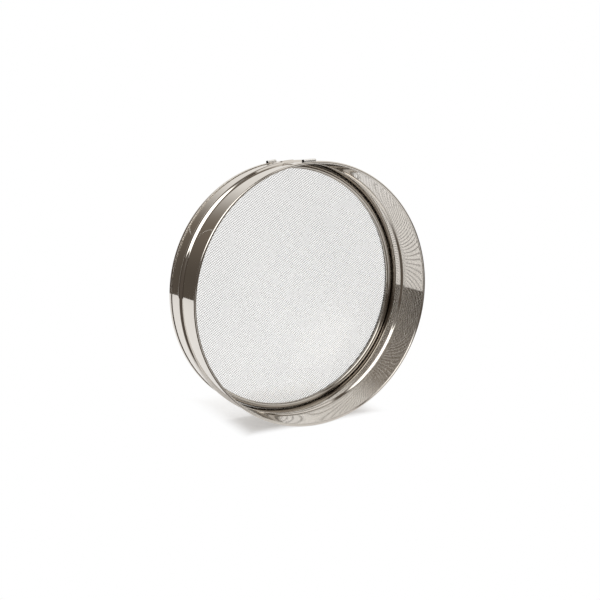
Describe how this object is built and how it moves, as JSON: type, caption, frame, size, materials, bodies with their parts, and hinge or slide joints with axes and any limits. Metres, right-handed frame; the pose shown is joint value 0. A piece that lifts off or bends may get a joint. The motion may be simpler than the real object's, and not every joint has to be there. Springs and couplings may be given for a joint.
{
  "type": "tamis drum sieve",
  "caption": "Round steel tamis drum sieve: a hoop with a rolled upper rim and a bead, standing in a base ring whose lip carries a fine woven wire mesh, and a ring of tube that presses the mesh in.",
  "frame": {"origin": "centre of the drum, on the surface on which its lower rim rests, mesh side down", "axes": "+Z along the drum's axis from the mesh side to the open side; +Y towards the lap and the two rim clips, which the picture shows at the top of the standing sieve; +X to the right in the picture"},
  "size_m": [0.2516, 0.2536, 0.061],
  "materials": {
    "hoop_steel": "polished stainless sheet with a warm grey tone and fine roll lines",
    "ring_steel": "polished stainless tube, a little duller than the hoop",
    "mesh_wire": "bright drawn stainless wire, plain weave",
    "clip_steel": "bright spring-steel sheet"
  },
  "bodies": {
    "root": {"hoop": "hoop_steel", "base_ring": "hoop_steel", "retaining_ring": "ring_steel", "mesh_edge": "mesh_wire", "warp_wires": "mesh_wire", "weft_wires": "mesh_wire", "upper_rim_clip": "clip_steel", "lower_rim_clip": "clip_steel"}
  },
  "joints": []
}
